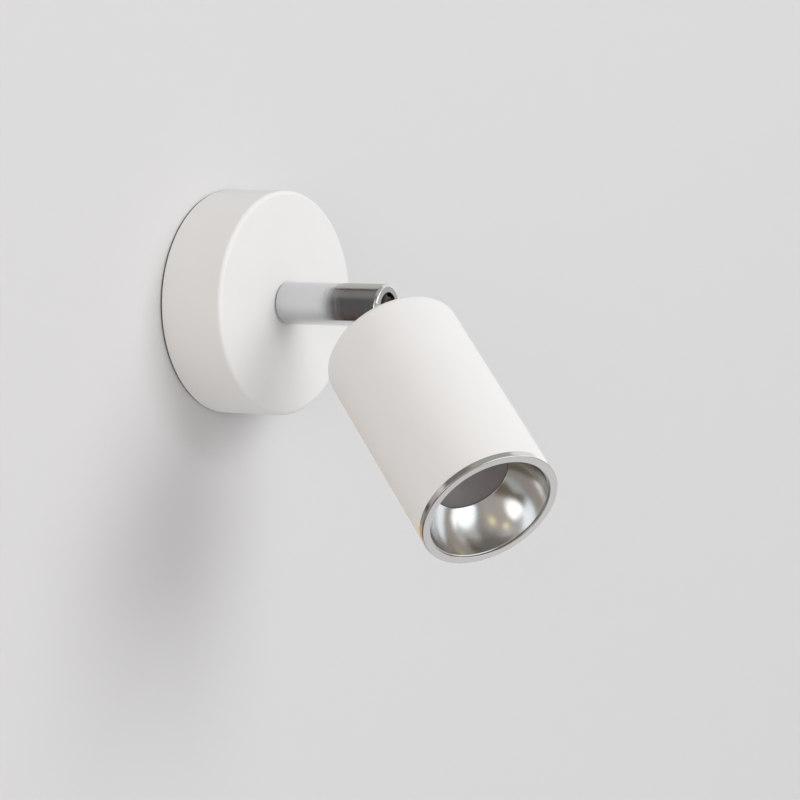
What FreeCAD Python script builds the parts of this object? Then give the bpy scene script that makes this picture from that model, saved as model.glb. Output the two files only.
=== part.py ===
import FreeCAD, Part

import math
import os

from FreeCAD import Vector

# Pivoting spotlight wall light, in millimetres. The wall is the plane Y = 0, the light stands out towards
# -Y and Z is up. Pieces are drawn with their own Z pointing away from the wall, or out of the lamp's mouth,
# and are then turned into place.

# Canopy and wall fixing
CANOPY_RADIUS = 50.0
CANOPY_DEPTH = 32.6
CANOPY_WALL = 1.5
CANOPY_EDGE_RADIUS = 2.6
GASKET_THICKNESS = 0.8
GASKET_WIDTH = 1.5
GASKET_INSET = 0.4
STRAP_WIDTH = 18.0
STRAP_THICKNESS = 1.5
STRAP_BEND_RADIUS = 1.2
STRAP_GAP = 0.3
EAR_HEIGHT = 14.0
EAR_CORNER_RADIUS = 3.0
WALL_SCREW_SPACING = 60.0
WALL_SLOT_LENGTH = 12.0
WALL_SLOT_RADIUS = 2.3
CABLE_HOLE_RADIUS = 5.0
CABLE_HOLE_HEIGHT = 13.0
GROMMET_BORE_RADIUS = 3.6
GROMMET_FLANGE_RADIUS = 7.0
GROMMET_FLANGE = 1.4
CANOPY_SCREW_RADIUS = 2.0
CANOPY_SCREW_LENGTH = 7.0
CANOPY_SCREW_DEPTH = 8.5
CANOPY_SCREW_SINK = 0.4
CANOPY_SCREW_KEY = 2.0
EARTH_SCREW_RADIUS = 2.0
EARTH_HEAD_RADIUS = 3.6
EARTH_HEAD_HEIGHT = 2.4
EARTH_HEAD_EDGE = 0.8
EARTH_SCREW_HEIGHT = 2.5
SCREW_SLOT = 0.8

# Terminal block on the strap
POLE_COUNT = 2
POLE_PITCH = 10.0
POLE_WIDTH = 6.4
POLE_HEIGHT = 11.0
POLE_EDGE_RADIUS = 1.4
BLOCK_LENGTH = 14.0
BLOCK_TOP = -6.5
BLOCK_BASE_HEIGHT = 4.5
CLAMP_RADIUS = 2.2
CLAMP_BORE_RADIUS = 1.4
CLAMP_HEIGHT = 5.6
CLAMP_SINK = 1.0
CLAMP_SCREW_RADIUS = 1.4
CLAMP_SCREW_SPACING = 7.0
WIRE_REACH = 4.7
BLOCK_SCREW_RADIUS = 1.5
BLOCK_SCREW_HEAD_RADIUS = 2.6
BLOCK_SCREW_HEAD = 1.6

# Swivel in the canopy
NIPPLE_RADIUS = 5.0
NIPPLE_BORE_RADIUS = 3.2
NIPPLE_FLAT = 0.8
NIPPLE_END = 1.6
BUSH_WALL = 1.2
BUSH_FLANGE_RADIUS = 8.9
BUSH_FLANGE = 0.6
THRUST_WASHER_RADIUS = 11.0
THRUST_WASHER = 0.8
STOP_WASHER_RADIUS = 10.5
STOP_WASHER = 1.2
STOP_REACH = 14.5
STOP_PIN_RADIUS = 1.5
STOP_PIN_LENGTH = 2.6
STOP_HALF_ANGLE = 15.0
DISC_SPRING_RADIUS = 8.5
DISC_SPRING = 0.6
DISC_SPRING_DISH = 0.5
NUT_ACROSS_FLATS = 14.0
NUT_HEIGHT = 3.5
NUT_FACE_RATIO = 0.95
NUT_CHAMFER_ANGLE = 30.0

# Stem
STEM_RADIUS = 9.45
STEM_LENGTH = 53.6
STEM_WALL = 1.55
STEM_END_RADIUS = 1.65
STEM_LIP = 3.2
STEM_HOLE_RADIUS = 5.95
PLUG_LENGTH = 9.0
PIVOT_SETBACK = 11.9
SLOT_HALF_WIDTH = 3.1

# Tilt joint
TONGUE_RADIUS = 7.4
TONGUE_HALF_WIDTH = 3.0
NECK_RADIUS = 2.9
NECK_LENGTH = 27.6
NECK_BORE_RADIUS = 1.9
NECK_TAPER = 2.0
PIVOT_RADIUS = 1.5
PIVOT_BLIND = 0.8
PIVOT_HEAD_RADIUS = 2.6
PIVOT_HEAD_SLOT = 0.4
LEAD_PORT_RADIUS = 1.2
LEAD_PORT_OFFSET = 4.6
CUP_LENGTH = 7.8
CUP_RIM = 3.2
CUP_GAP = 0.1
SPRING_WIRE_RADIUS = 0.6
SPRING_RADIUS = 6.6
SPRING_TURNS = 5
SPRING_BENDS_PER_TURN = 10

# Head
HEAD_RADIUS = 30.87
HEAD_LENGTH = 99.7
HEAD_WALL = 1.4
HEAD_BACK = 1.8
HEAD_EDGE_RADIUS = 3.55
COLLAR_RADIUS = 7.5
COLLAR_HEIGHT = 3.5
COLLAR_CHAMFER = 0.6
WASHER_RADIUS = 9.0
WASHER_THICKNESS = 1.0

# Front ring and reflector
RING_OVERHANG = 0.2
RING_BAND = 2.83
RING_CHAMFER = 0.35
RING_LIP = 0.9
LIP_REACH = 0.42
SKIRT_LENGTH = 8.0
SKIRT_GAP = 0.1
SKIRT_WALL = 1.55
CORD_RADIUS = 0.58
CORD_GAP = 0.04
CORD_SETBACK = 4.0
REFLECTOR_STEP = 0.35
REFLECTOR_THROAT_RADIUS = 16.83
REFLECTOR_WALL = 0.7
REFLECTOR_FLANGE = 0.8
REFLECTOR_BULGE = 0.5
LAMP_GAP = 0.3

# Lamp and its holder
LAMP_SETBACK = 19.54
LAMP_LENGTH = 46.5
LAMP_RADIUS = 24.75
LAMP_RIM = 7.0
LAMP_BASE_RADIUS = 13.2
LAMP_BASE_LENGTH = 12.0
LAMP_BULGE = 1.0
LAMP_EDGE_RADIUS = 1.0
LENS_RADIUS = 22.0
LENS_THICKNESS = 1.8
PIN_SPACING = 10.0
PIN_RADIUS = 1.65
PIN_LENGTH = 7.3
PIN_HEAD_RADIUS = 2.5
PIN_HEAD = 2.9
HOLDER_RADIUS = 13.8
HOLDER_LENGTH = 16.0
HOLDER_EDGE_RADIUS = 1.0
HOLDER_PLATE = 3.6
HOLDER_GAP = 0.1
HOLDER_CAVITY = 6.5
KEY_GAP = 0.2
TWIST_ANGLE = 30.0
HOLDER_SCREW_RADIUS = 1.5
HOLDER_SCREW_HEAD_RADIUS = 2.7
HOLDER_SCREW_HEAD = 1.8
HOLDER_SCREW_SINK = 0.5
HOLDER_SCREW_OFFSET = 10.0
CONTACT_THICKNESS = 0.4
CONTACT_WIDTH = 3.4
BRACKET_THICKNESS = 1.0
BRACKET_WIDTH = 16.0
BRACKET_LEG = 16.0
BRACKET_BEND_RADIUS = 0.8

# Leads
LEAD_RADIUS = 0.75
LEAD_SPACING = 1.7
LEAD_SPREAD = 4.0
LEAD_LIFT = 2.6
LEAD_REACH = 1.0
LEAD_CREST = 1.5
LEAD_BEND = 4.0
LEAD_TIGHT_BEND = 1.4

# Clearances and the least radius of an inside corner
RUNNING_GAP = 0.05
TIGHT_GAP = 0.02
LEAST_CORNER = 0.3

# Rest pose, as the light is set in use
TILT_AT_REST = 45.2
SWIVEL_AT_REST = 24.4

# Places along the axis from the wall outwards
CANOPY_INSIDE = CANOPY_DEPTH - CANOPY_WALL
CANOPY_BORE = CANOPY_RADIUS - CANOPY_WALL
STEM_START = CANOPY_DEPTH + BUSH_FLANGE
STEM_END = STEM_START + STEM_LENGTH
STEM_BORE = STEM_RADIUS - STEM_WALL
PIVOT = STEM_END - PIVOT_SETBACK
STOP_WASHER_FRONT = CANOPY_INSIDE - THRUST_WASHER
DISC_SPRING_FRONT = STOP_WASHER_FRONT - STOP_WASHER
NUT_FRONT = DISC_SPRING_FRONT - DISC_SPRING - DISC_SPRING_DISH
NIPPLE_BACK = NUT_FRONT - NUT_HEIGHT - NIPPLE_END
PLUG_FRONT = STEM_START + PLUG_LENGTH
CUP_FRONT = PIVOT - CUP_RIM
CUP_BACK = CUP_FRONT - CUP_LENGTH
EAR_FACE = math.sqrt(CANOPY_BORE**2 - (STRAP_WIDTH / 2) ** 2) - STRAP_GAP
BLOCK_MIDDLE = BLOCK_TOP - BLOCK_LENGTH / 2
BLOCK_BASE = STRAP_THICKNESS + BLOCK_BASE_HEIGHT
BLOCK_FRONT = STRAP_THICKNESS + POLE_HEIGHT
CLAMP_AXIS = STRAP_THICKNESS + CLAMP_HEIGHT
PIVOT_HEAD_TOP = math.sqrt(STEM_RADIUS**2 - PIVOT_HEAD_RADIUS**2) - RUNNING_GAP

# Places along the head's axis from the pivot outwards
HEAD_START = NECK_LENGTH
HEAD_INSIDE = HEAD_START + HEAD_BACK
HEAD_END = HEAD_START + HEAD_LENGTH
HEAD_BORE = HEAD_RADIUS - HEAD_WALL
RING_END = HEAD_END + RING_BAND
RING_RADIUS = HEAD_RADIUS + RING_OVERHANG
SKIRT_RADIUS = HEAD_BORE - SKIRT_GAP
SKIRT_BORE = SKIRT_RADIUS - SKIRT_WALL
MOUTH_RADIUS = SKIRT_BORE - LIP_REACH
REFLECTOR_MOUTH_RADIUS = MOUTH_RADIUS - REFLECTOR_STEP
CORD_PLACE = HEAD_END - CORD_SETBACK
LAMP_FRONT = RING_END - LAMP_SETBACK
LAMP_BACK = LAMP_FRONT - LAMP_LENGTH
PIN_TIP = LAMP_BACK - PIN_LENGTH
PIN_CIRCLE = PIN_SPACING / 2
HOLDER_FRONT = LAMP_BACK - HOLDER_GAP
HOLDER_BACK = HOLDER_FRONT - HOLDER_LENGTH
CAVITY_FRONT = HOLDER_FRONT - HOLDER_PLATE
CAVITY_BACK = CAVITY_FRONT - HOLDER_CAVITY
WASHER_BACK = HEAD_INSIDE + BRACKET_THICKNESS
NECK_NUT_BACK = WASHER_BACK + WASHER_THICKNESS
NECK_END = NECK_NUT_BACK + NUT_HEIGHT + NIPPLE_END

ORIGIN = Vector(0, 0, 0)
X_AXIS = Vector(1, 0, 0)
Y_AXIS = Vector(0, 1, 0)
Z_AXIS = Vector(0, 0, 1)
SIDES = (-1, 1)
SAME = 1e-6


def rod(radius, start, end, x=0.0, y=0.0):
    return Part.makeCylinder(radius, end - start, Vector(x, y, start), Z_AXIS)


def tube(outer, inner, start, end):
    return rod(outer, start, end).cut(rod(inner, start, end))


def cross_rod(radius, start, end, direction, middle):
    return Part.makeCylinder(radius, end - start, middle + direction * start, direction)


def block(width, height, start, end, x=0.0, y=0.0):
    return Part.makeBox(width, height, end - start, Vector(x - width / 2, y - height / 2, start))


def outline(steps):
    # A step is the next point, or a pair: a point that an arc passes and the point where it ends.
    edges = []
    here = steps[0]
    for step in steps[1:] + steps[:1]:
        if isinstance(step, tuple):
            middle, there = step
            edges.append(Part.Arc(here, middle, there).toShape())
        else:
            there = step
            if (there - here).Length > SAME:
                edges.append(Part.LineSegment(here, there).toShape())
        here = there
    return Part.Face(Part.Wire(edges))


def turned(steps):
    # Steps are (radius, height) points of a half section, turned about Z.
    return outline(steps).revolve(ORIGIN, Z_AXIS, 360)


def at(radius, height):
    return Vector(radius, 0, height)


def corner(centre, radius, start, end):
    # An arc about centre, from angle start to angle end, as one step of an outline.
    def point(angle):
        turn = math.radians(angle)
        return centre + Vector(radius * math.cos(turn), 0, radius * math.sin(turn))

    return point((start + end) / 2), point(end)


def opposite(shape):
    half_turned = shape.copy()
    half_turned.rotate(ORIGIN, Z_AXIS, 180)
    return half_turned


def strip(profile, width):
    # A bent strip that runs along Y. The profile is one half of its side view, and the other half is the
    # same, turned round.
    half = profile.extrude(Y_AXIS * width)
    half.translate(Y_AXIS * (-width / 2))
    bent = half.fuse(opposite(half)).removeSplitter()
    bent.rotate(ORIGIN, Z_AXIS, 90)
    return bent


def edges_along_y(shape, height):
    return [
        edge for edge in shape.Edges
        if edge.BoundBox.XLength < SAME and abs(edge.BoundBox.ZMin - height) < SAME
    ]


def hexagon(across_flats, start, end):
    points = [Vector(across_flats / math.sqrt(3), 0, start)]
    turn = FreeCAD.Rotation(Z_AXIS, 60)
    while len(points) < 6:
        points.append(turn.multVec(points[-1]))
    return outline(points).extrude(Z_AXIS * (end - start))


def nut(start):
    # Cones from both sides round off the corners.
    end = start + NUT_HEIGHT
    face = NUT_ACROSS_FLATS / 2 * NUT_FACE_RATIO
    wide = face + NUT_HEIGHT / math.tan(math.radians(NUT_CHAMFER_ANGLE))
    blank = hexagon(NUT_ACROSS_FLATS, start, end)
    for first, last in ((face, wide), (wide, face)):
        blank = blank.common(Part.makeCone(first, last, NUT_HEIGHT, Vector(0, 0, start)))
    return blank.cut(rod(NIPPLE_RADIUS, start, end))


def screw(shank_radius, head_radius, start, head_start, head_end):
    shank = rod(shank_radius, start, head_start)
    head = rod(head_radius, head_start, head_end)
    return shank.fuse(head).cut(screw_slot(head_radius, head_end, SCREW_SLOT))


def screw_slot(radius, end, depth):
    return block(2 * radius + SCREW_SLOT, SCREW_SLOT, end - depth, end)


def bent_wire(points, bend, radius):
    # A round wire along straight runs joined by tangent arcs.
    edges = []
    here = points[0]
    for before, middle, after in zip(points, points[1:], points[2:]):
        back = (before - middle).normalize()
        ahead = (after - middle).normalize()
        half = back.getAngle(ahead) / 2
        inward = (back + ahead).normalize()
        centre = middle + inward * (bend / math.sin(half))
        start = middle + back * (bend / math.tan(half))
        end = middle + ahead * (bend / math.tan(half))
        if (start - here).Length > SAME:
            edges.append(Part.LineSegment(here, start).toShape())
        edges.append(Part.Arc(start, centre - inward * bend, end).toShape())
        here = end
    edges.append(Part.LineSegment(here, points[-1]).toShape())
    section = Part.Wire(Part.makeCircle(radius, points[0], points[1] - points[0]))
    return Part.Wire(edges).makePipeShell([section], True, False)


# ---------------------------------------------------------------- canopy and wall fixing


def wall_gasket():
    outer = CANOPY_RADIUS - GASKET_INSET
    return tube(outer, outer - GASKET_WIDTH, 0, GASKET_THICKNESS)


def canopy():
    edge = CANOPY_EDGE_RADIUS
    inner_edge = max(edge - CANOPY_WALL, LEAST_CORNER)
    cup = turned([
        at(CANOPY_BORE, GASKET_THICKNESS),
        at(CANOPY_RADIUS, GASKET_THICKNESS),
        at(CANOPY_RADIUS, CANOPY_DEPTH - edge),
        corner(at(CANOPY_RADIUS - edge, CANOPY_DEPTH - edge), edge, 0, 90),
        at(NIPPLE_RADIUS + BUSH_WALL, CANOPY_DEPTH),
        at(NIPPLE_RADIUS + BUSH_WALL, CANOPY_INSIDE),
        at(CANOPY_BORE - inner_edge, CANOPY_INSIDE),
        corner(at(CANOPY_BORE - inner_edge, CANOPY_INSIDE - inner_edge), inner_edge, 90, 0),
    ])
    for side in SIDES:
        cup = cup.cut(cross_rod(
            CANOPY_SCREW_RADIUS + RUNNING_GAP,
            EAR_FACE,
            CANOPY_RADIUS + CANOPY_WALL,
            Y_AXIS * side,
            at(0, CANOPY_SCREW_DEPTH),
        ))
    return cup.cut(stop_pin())


def wall_slot(height):
    half = WALL_SLOT_LENGTH / 2 - WALL_SLOT_RADIUS
    slot = block(2 * WALL_SLOT_RADIUS, 2 * half, 0, STRAP_THICKNESS, 0, height)
    for side in SIDES:
        slot = slot.fuse(rod(WALL_SLOT_RADIUS, 0, STRAP_THICKNESS, 0, height + side * half))
    return slot


def mounting_strap():
    # Flat on the wall, with both ends turned up into tapped ears.
    outer_bend = STRAP_BEND_RADIUS + STRAP_THICKNESS
    bend = at(EAR_FACE - outer_bend, outer_bend)
    half = outline([
        at(0, 0),
        at(bend.x, 0),
        corner(bend, outer_bend, -90, 0),
        at(EAR_FACE, EAR_HEIGHT),
        at(EAR_FACE - STRAP_THICKNESS, EAR_HEIGHT),
        at(EAR_FACE - STRAP_THICKNESS, outer_bend),
        corner(bend, STRAP_BEND_RADIUS, 0, -90),
        at(0, STRAP_THICKNESS),
    ])
    strap = strip(half, STRAP_WIDTH)
    strap = strap.makeFillet(EAR_CORNER_RADIUS, edges_along_y(strap, EAR_HEIGHT))
    for side in SIDES:
        strap = strap.cut(wall_slot(side * WALL_SCREW_SPACING / 2))
        strap = strap.cut(cross_rod(
            CANOPY_SCREW_RADIUS,
            EAR_FACE - 2 * STRAP_THICKNESS,
            CANOPY_RADIUS,
            Y_AXIS * side,
            at(0, CANOPY_SCREW_DEPTH),
        ))
    strap = strap.cut(rod(CABLE_HOLE_RADIUS, 0, STRAP_THICKNESS, 0, CABLE_HOLE_HEIGHT))
    strap = strap.cut(rod(BLOCK_SCREW_RADIUS, 0, STRAP_THICKNESS, 0, BLOCK_MIDDLE))
    return strap.cut(rod(EARTH_SCREW_RADIUS, 0, STRAP_THICKNESS, -STRAP_WIDTH / 4, EARTH_SCREW_HEIGHT))


def cable_grommet():
    front = STRAP_THICKNESS + GROMMET_FLANGE
    soft_edge = GROMMET_FLANGE / 2
    grommet = turned([
        at(GROMMET_BORE_RADIUS, 0),
        at(CABLE_HOLE_RADIUS, 0),
        at(CABLE_HOLE_RADIUS, STRAP_THICKNESS),
        at(GROMMET_FLANGE_RADIUS, STRAP_THICKNESS),
        at(GROMMET_FLANGE_RADIUS, front - soft_edge),
        corner(at(GROMMET_FLANGE_RADIUS - soft_edge, front - soft_edge), soft_edge, 0, 90),
        at(GROMMET_BORE_RADIUS, front),
    ])
    grommet.translate(Y_AXIS * CABLE_HOLE_HEIGHT)
    return grommet


def canopy_screws():
    end = CANOPY_RADIUS - CANOPY_SCREW_SINK
    screws = []
    for side in SIDES:
        grub = rod(CANOPY_SCREW_RADIUS, end - CANOPY_SCREW_LENGTH, end)
        grub = grub.cut(hexagon(CANOPY_SCREW_KEY, end - CANOPY_SCREW_KEY, end))
        grub.rotate(ORIGIN, X_AXIS, -90 * side)
        grub.translate(at(0, CANOPY_SCREW_DEPTH))
        screws.append(grub)
    return Part.makeCompound(screws)


def earth_screw():
    front = STRAP_THICKNESS + EARTH_HEAD_HEIGHT
    edge = EARTH_HEAD_EDGE
    pan_head = turned([
        at(0, 0),
        at(EARTH_SCREW_RADIUS, 0),
        at(EARTH_SCREW_RADIUS, STRAP_THICKNESS),
        at(EARTH_HEAD_RADIUS, STRAP_THICKNESS),
        at(EARTH_HEAD_RADIUS, front - edge),
        corner(at(EARTH_HEAD_RADIUS - edge, front - edge), edge, 0, 90),
        at(0, front),
    ])
    slotted = pan_head.cut(screw_slot(EARTH_HEAD_RADIUS, front, EARTH_HEAD_HEIGHT / 2))
    slotted.translate(Vector(-STRAP_WIDTH / 4, EARTH_SCREW_HEIGHT, 0))
    return slotted


def pole_places():
    first = -POLE_PITCH * (POLE_COUNT - 1) / 2
    return [first + index * POLE_PITCH for index in range(POLE_COUNT)]


def clamp_screw_places():
    rows = [BLOCK_MIDDLE + side * CLAMP_SCREW_SPACING / 2 for side in SIDES]
    return [(place, row) for place in pole_places() for row in rows]


def terminal_block():
    # A low base with one tall pole for each wire, which holds a clamp and its two screws.
    width = POLE_PITCH * (POLE_COUNT - 1) + POLE_WIDTH
    body = block(width, BLOCK_LENGTH, STRAP_THICKNESS, BLOCK_BASE, 0, BLOCK_MIDDLE)
    for place in pole_places():
        pole = block(POLE_WIDTH, BLOCK_LENGTH, STRAP_THICKNESS, BLOCK_FRONT, place, BLOCK_MIDDLE)
        body = body.fuse(pole.makeFillet(POLE_EDGE_RADIUS, edges_along_y(pole, BLOCK_FRONT)))
    for place in pole_places():
        middle = Vector(place, BLOCK_MIDDLE, CLAMP_AXIS)
        body = body.cut(cross_rod(CLAMP_RADIUS, -BLOCK_LENGTH / 2, BLOCK_LENGTH / 2, Y_AXIS, middle))
    for place, row in clamp_screw_places():
        body = body.cut(rod(CLAMP_SCREW_RADIUS + RUNNING_GAP, CLAMP_AXIS, BLOCK_FRONT, place, row))
    head_seat = BLOCK_BASE - BLOCK_SCREW_HEAD
    body = body.cut(rod(BLOCK_SCREW_RADIUS, STRAP_THICKNESS, head_seat, 0, BLOCK_MIDDLE))
    return body.cut(rod(BLOCK_SCREW_HEAD_RADIUS, head_seat, BLOCK_FRONT, 0, BLOCK_MIDDLE))


def terminal_clamps():
    half = BLOCK_LENGTH / 2 - CLAMP_SINK
    clamps = []
    for place in pole_places():
        middle = Vector(place, BLOCK_MIDDLE, CLAMP_AXIS)
        sleeve = cross_rod(CLAMP_RADIUS, -half, half, Y_AXIS, middle)
        sleeve = sleeve.cut(cross_rod(CLAMP_BORE_RADIUS, -half, half, Y_AXIS, middle))
        for _, row in clamp_screw_places():
            sleeve = sleeve.cut(rod(CLAMP_SCREW_RADIUS, CLAMP_AXIS, CLAMP_AXIS + CLAMP_RADIUS, place, row))
        clamps.append(sleeve)
    return Part.makeCompound(clamps)


def terminal_screws():
    front = BLOCK_FRONT - SCREW_SLOT
    screws = []
    for place, row in clamp_screw_places():
        clamp_screw = rod(CLAMP_SCREW_RADIUS, CLAMP_AXIS + LEAD_RADIUS, front)
        clamp_screw = clamp_screw.cut(screw_slot(CLAMP_SCREW_RADIUS, front, SCREW_SLOT))
        clamp_screw.translate(Vector(place, row, 0))
        screws.append(clamp_screw)
    return Part.makeCompound(screws)


def block_screw():
    fixing = screw(BLOCK_SCREW_RADIUS, BLOCK_SCREW_HEAD_RADIUS, 0, BLOCK_BASE - BLOCK_SCREW_HEAD, BLOCK_BASE)
    fixing.translate(Y_AXIS * BLOCK_MIDDLE)
    return fixing


def swivel_bush():
    bore = NIPPLE_RADIUS + RUNNING_GAP
    return turned([
        at(bore, CANOPY_INSIDE),
        at(NIPPLE_RADIUS + BUSH_WALL, CANOPY_INSIDE),
        at(NIPPLE_RADIUS + BUSH_WALL, CANOPY_DEPTH),
        at(BUSH_FLANGE_RADIUS, CANOPY_DEPTH),
        at(BUSH_FLANGE_RADIUS, STEM_START),
        at(bore, STEM_START),
    ])


def thrust_washer():
    return tube(THRUST_WASHER_RADIUS, NIPPLE_RADIUS + RUNNING_GAP, STOP_WASHER_FRONT, CANOPY_INSIDE)


def stop_pin():
    start = CANOPY_INSIDE - STOP_PIN_LENGTH
    return rod(STOP_PIN_RADIUS, start, CANOPY_DEPTH - CANOPY_WALL / 2, 0, -STOP_REACH)


def canopy_leads():
    wire_end = BLOCK_TOP - WIRE_REACH
    places = (pole_places()[0], pole_places()[-1])
    leads = []
    for side, place in zip(SIDES, places):
        near = side * LEAD_SPACING / 2
        leads.append(bent_wire([
            at(near, NIPPLE_BACK),
            at(near, NIPPLE_BACK - LEAD_BEND),
            at(place, CLAMP_AXIS),
            Vector(place, wire_end, CLAMP_AXIS),
        ], LEAD_BEND / 2, LEAD_RADIUS))
    return Part.makeCompound(leads)


# ---------------------------------------------------------------- arm


def flat_of_nipple(start, end):
    flat = NIPPLE_RADIUS - NIPPLE_FLAT
    return block(2 * NIPPLE_RADIUS, NIPPLE_RADIUS, start, end, 0, flat + NIPPLE_RADIUS / 2)


def pivot_screw_blank():
    # The pivot screw without its slot, lying along X through the pivot.
    blank = turned([
        at(0, -STEM_BORE - PIVOT_BLIND),
        at(PIVOT_RADIUS, -STEM_BORE - PIVOT_BLIND),
        at(PIVOT_RADIUS, PIVOT_HEAD_TOP - PIVOT_HEAD_RADIUS + PIVOT_RADIUS),
        at(PIVOT_HEAD_RADIUS, PIVOT_HEAD_TOP),
        at(0, PIVOT_HEAD_TOP),
    ])
    blank.rotate(ORIGIN, Y_AXIS, 90)
    blank.translate(Z_AXIS * PIVOT)
    return blank


def stem_tube():
    # The end is drawn in to a lip round the hole, and the slot under it lets the neck swing down.
    end_edge = at(STEM_RADIUS - STEM_END_RADIUS, STEM_END - STEM_END_RADIUS)
    stem = turned([
        at(STEM_BORE, STEM_START),
        at(STEM_RADIUS, STEM_START),
        at(STEM_RADIUS, end_edge.z),
        corner(end_edge, STEM_END_RADIUS, 0, 90),
        at(STEM_HOLE_RADIUS, STEM_END),
        at(STEM_HOLE_RADIUS, STEM_END - STEM_LIP),
        at(STEM_BORE, STEM_END - STEM_LIP),
    ])
    slot = block(2 * SLOT_HALF_WIDTH, STEM_RADIUS, PIVOT, STEM_END, 0, -STEM_RADIUS / 2)
    slot_end = cross_rod(SLOT_HALF_WIDTH, 0, STEM_RADIUS, -Y_AXIS, at(0, PIVOT))
    return stem.cut(slot.fuse(slot_end)).cut(pivot_screw_blank())


def pivot_screw():
    slot = screw_slot(PIVOT_HEAD_RADIUS, PIVOT_HEAD_TOP, PIVOT_HEAD_SLOT)
    slot.rotate(ORIGIN, Y_AXIS, 90)
    slot.translate(Z_AXIS * PIVOT)
    return pivot_screw_blank().cut(slot)


def stem_plug():
    plug = turned([
        at(NIPPLE_BORE_RADIUS, NIPPLE_BACK),
        at(NIPPLE_RADIUS, NIPPLE_BACK),
        at(NIPPLE_RADIUS, STEM_START),
        at(STEM_BORE - TIGHT_GAP, STEM_START),
        at(STEM_BORE - TIGHT_GAP, PLUG_FRONT),
        at(NIPPLE_BORE_RADIUS, PLUG_FRONT),
    ])
    return plug.cut(flat_of_nipple(NIPPLE_BACK, CANOPY_INSIDE))


def stop_washer():
    # It turns with the stem, and its tab's flank meets the stop pin at both ends of the turn.
    turn = math.radians(STOP_HALF_ANGLE)
    tab_half = STOP_REACH * math.sin(turn) - STOP_PIN_RADIUS - RUNNING_GAP
    tab_tip = STOP_REACH + STOP_PIN_RADIUS
    tab = block(2 * tab_half, tab_tip, DISC_SPRING_FRONT, STOP_WASHER_FRONT, 0, tab_tip / 2)
    hole = rod(NIPPLE_RADIUS + TIGHT_GAP, DISC_SPRING_FRONT, STOP_WASHER_FRONT)
    hole = hole.cut(flat_of_nipple(DISC_SPRING_FRONT, STOP_WASHER_FRONT))
    washer = rod(STOP_WASHER_RADIUS, DISC_SPRING_FRONT, STOP_WASHER_FRONT)
    return washer.fuse(tab).removeSplitter().cut(hole)


def disc_spring():
    bore = NIPPLE_RADIUS + RUNNING_GAP
    dished = NUT_FRONT + DISC_SPRING_DISH
    return turned([
        at(bore, NUT_FRONT),
        at(bore + DISC_SPRING / 2, NUT_FRONT),
        at(DISC_SPRING_RADIUS, dished),
        at(DISC_SPRING_RADIUS, dished + DISC_SPRING),
        at(DISC_SPRING_RADIUS - DISC_SPRING / 2, dished + DISC_SPRING),
        at(bore, NUT_FRONT + DISC_SPRING),
    ])


def stem_nut():
    return nut(NUT_FRONT - NUT_HEIGHT)


def friction_cup():
    # A spring presses its round seat against the knuckle's tongue.
    cup = rod(STEM_BORE - CUP_GAP, CUP_BACK, CUP_FRONT)
    cup = cup.cut(Part.makeSphere(TONGUE_RADIUS + RUNNING_GAP, at(0, PIVOT)))
    for side in SIDES:
        cup = cup.cut(rod(LEAD_PORT_RADIUS, CUP_BACK, CUP_FRONT, side * LEAD_SPREAD, LEAD_LIFT))
    return cup


def pressure_spring():
    start = PLUG_FRONT + SPRING_WIRE_RADIUS
    end = CUP_BACK - SPRING_WIRE_RADIUS
    step = math.pi / SPRING_BENDS_PER_TURN
    bends = SPRING_TURNS * SPRING_BENDS_PER_TURN
    points = []
    for bend in range(bends + 1):
        turn = 2 * step * bend
        around = Vector(math.cos(turn), math.sin(turn), 0) * (SPRING_RADIUS / math.cos(step))
        points.append(around + Z_AXIS * (start + (end - start) * bend / bends))
    return bent_wire(points, SPRING_RADIUS - SPRING_WIRE_RADIUS, SPRING_WIRE_RADIUS)


def stem_leads():
    leads = []
    for side in SIDES:
        near = side * LEAD_SPACING / 2
        wide = side * LEAD_SPREAD
        leads.append(bent_wire([
            at(near, NIPPLE_BACK),
            at(near, PLUG_FRONT),
            Vector(wide, LEAD_LIFT, PLUG_FRONT + 2 * LEAD_SPREAD),
            Vector(wide, LEAD_LIFT, PIVOT + LEAD_REACH),
        ], LEAD_BEND, LEAD_RADIUS))
    return Part.makeCompound(leads)


# ---------------------------------------------------------------- head


def knuckle():
    # A round tongue in the stem, on a hollow neck that is clamped to the head.
    collar_back = HEAD_START - COLLAR_HEIGHT
    flank_radius = math.sqrt(TONGUE_RADIUS**2 - TONGUE_HALF_WIDTH**2)
    tongue = turned([
        at(0, -TONGUE_HALF_WIDTH),
        at(flank_radius, -TONGUE_HALF_WIDTH),
        (at(TONGUE_RADIUS, 0), at(flank_radius, TONGUE_HALF_WIDTH)),
        at(0, TONGUE_HALF_WIDTH),
    ])
    tongue.rotate(ORIGIN, Y_AXIS, 90)
    neck = turned([
        at(0, 0),
        at(NECK_RADIUS, 0),
        at(NECK_RADIUS, collar_back - NECK_TAPER),
        at(NIPPLE_RADIUS, collar_back),
        at(NIPPLE_RADIUS, NECK_END),
        at(0, NECK_END),
    ])
    body = tongue.fuse(neck).removeSplitter()
    body = body.cut(rod(NECK_BORE_RADIUS, LEAD_PORT_OFFSET, NECK_END))
    body = body.cut(rod(NIPPLE_BORE_RADIUS, HEAD_START, NECK_END))
    reach = 2 * TONGUE_HALF_WIDTH
    port = cross_rod(LEAD_PORT_RADIUS, -reach, reach, X_AXIS, at(0, LEAD_PORT_OFFSET))
    pivot_hole = cross_rod(PIVOT_RADIUS + RUNNING_GAP, -reach, reach, X_AXIS, ORIGIN)
    return body.cut(port).cut(pivot_hole)


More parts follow.
